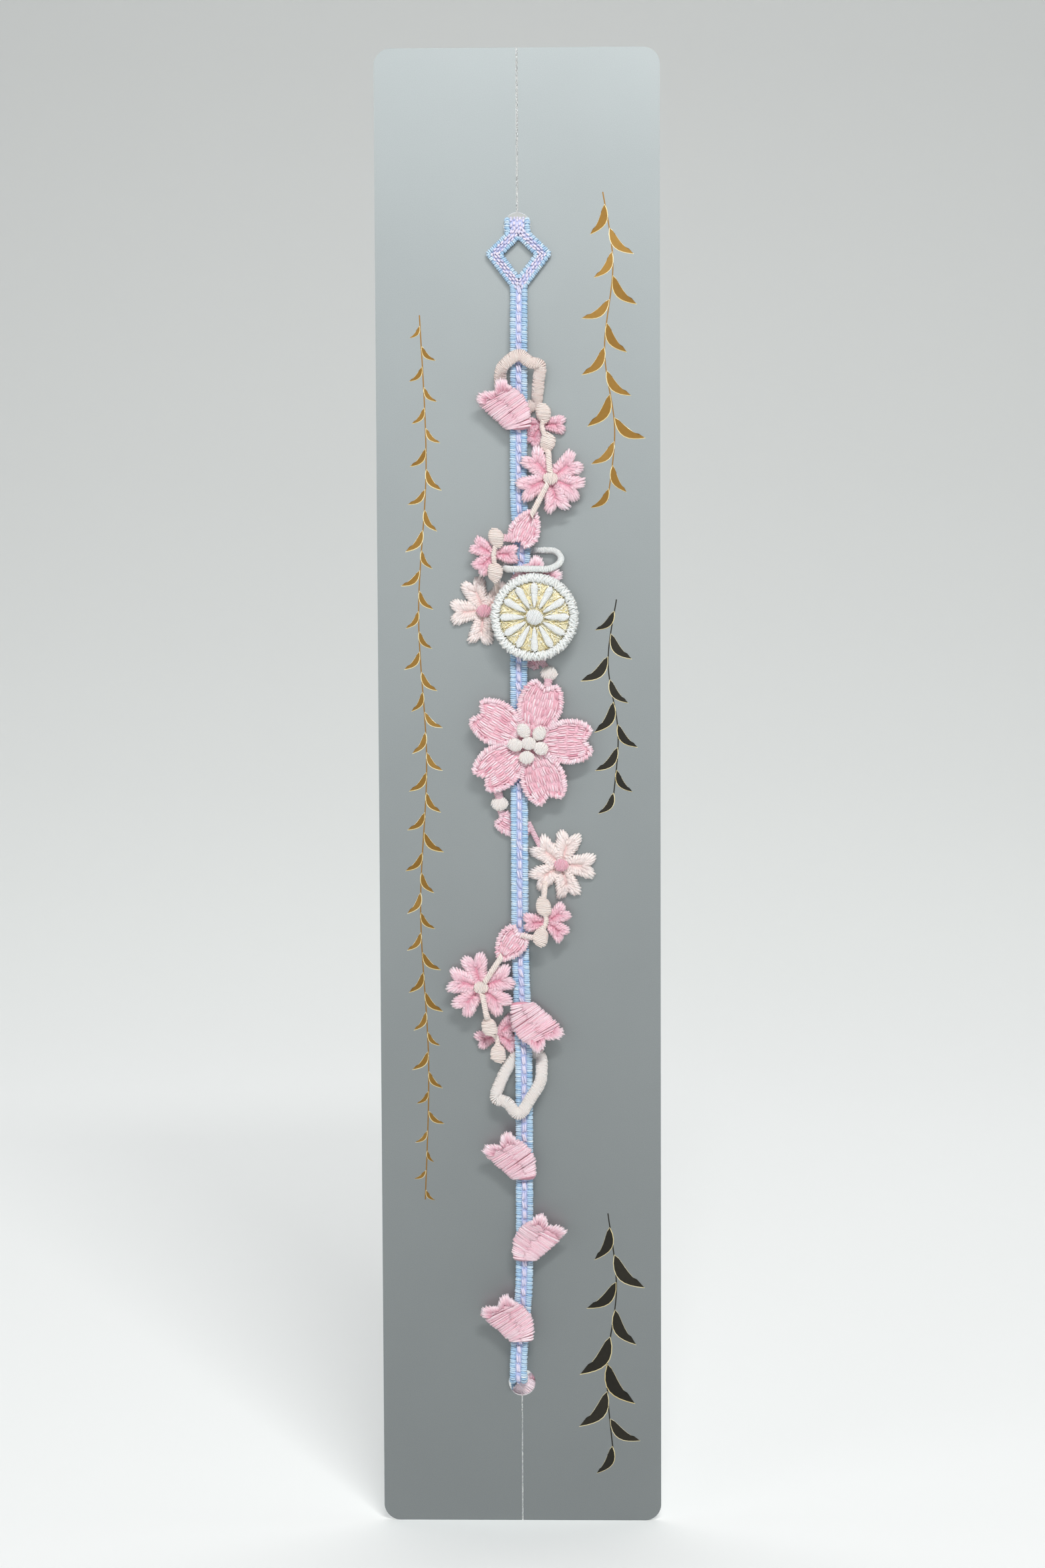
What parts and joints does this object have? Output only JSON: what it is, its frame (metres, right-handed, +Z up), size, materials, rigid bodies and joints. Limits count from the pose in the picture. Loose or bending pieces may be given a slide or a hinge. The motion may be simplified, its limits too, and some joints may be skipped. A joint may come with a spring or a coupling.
{
  "type": "lace bracelet charm on a backing card",
  "caption": "Upright slit card carrying a stitched lace bracelet with petals along its band, a woven blossom garland and a hanging round medallion.",
  "frame": {"origin": "middle of the card's lower edge, on the slit line and on the card's front face", "axes": "+Z up along the card, +X to the right of someone facing the card's front, the front faces -Y"},
  "size_m": [0.04, 0.0081, 0.21],
  "materials": {
    "card": "satin silver",
    "blue_thread": "satin thread",
    "pink_thread": "satin thread",
    "pale_thread": "satin thread",
    "cream_thread": "satin thread",
    "white_thread": "satin thread",
    "gold_thread": "metallic thread"
  },
  "bodies": {
    "card_and_band": {"backing_card": "card", "eyelet_front": "blue_thread", "band_neck": "blue_thread", "band_front": "blue_thread", "band_petal_1": "pink_thread", "band_petal_2": "pink_thread", "band_petal_3": "pink_thread", "lower_petal_4": "pink_thread", "lower_petal_3": "pink_thread", "lower_petal_2": "pink_thread", "lower_petal_1": "pink_thread", "medallion_loop": "white_thread"},
    "garland": {"upper_loop": "cream_thread", "bud_1": "cream_thread", "floret_1": "pink_thread", "bud_2": "cream_thread", "blossom_1": "pink_thread", "blossom_1_centre": "cream_thread", "leaf_1": "pink_thread", "stem_1": "cream_thread", "stem_2": "cream_thread", "bud_3": "cream_thread", "floret_2": "pink_thread", "bud_4": "cream_thread", "pale_blossom_1": "pale_thread", "pale_blossom_1_centre": "pink_thread", "hidden_bud_1": "pink_thread", "bead_1": "cream_thread", "large_blossom": "pink_thread", "knot_1": "cream_thread", "knot_2": "cream_thread", "knot_3": "cream_thread", "knot_4": "cream_thread", "knot_5": "cream_thread", "knot_6": "cream_thread", "bead_2": "cream_thread", "hidden_bud_2": "pink_thread", "pale_blossom_2": "pale_thread", "pale_blossom_2_centre": "pink_thread", "bud_5": "cream_thread", "floret_3": "pink_thread", "bud_6": "cream_thread", "leaf_2": "pink_thread", "blossom_2": "pink_thread", "blossom_2_centre": "cream_thread", "stem_3": "cream_thread", "bud_7": "cream_thread", "stem_4": "cream_thread", "floret_4": "pink_thread", "bud_8": "cream_thread", "lower_loop": "cream_thread"},
    "medallion": {"medallion_rim": "white_thread", "medallion_ground": "gold_thread", "medallion_motif": "white_thread"},
    "upper_tail": {"eyelet_back": "blue_thread"},
    "lower_tail": {"band_tail": "blue_thread"}
  },
  "joints": [
    {"name": "garland_slide", "type": "slide", "parent": "card_and_band", "child": "garland", "axis": [0, 0, 1], "range_m": [0, 0.0015]},
    {"name": "medallion_lift", "type": "hinge", "parent": "card_and_band", "child": "medallion", "pos_m": [0.0023, -0.004, 0.13745], "axis": [-1, 0, 0], "range_deg": [0, 120]},
    {"name": "upper_tail_fold", "type": "hinge", "parent": "card_and_band", "child": "upper_tail", "pos_m": [0, 0.00125, 0.18368], "axis": [1, 0, 0], "range_deg": [0, 90]},
    {"name": "lower_tail_fold", "type": "hinge", "parent": "card_and_band", "child": "lower_tail", "pos_m": [0, 0.0023, 0.0136], "axis": [1, 0, 0], "range_deg": [0, 90]}
  ]
}
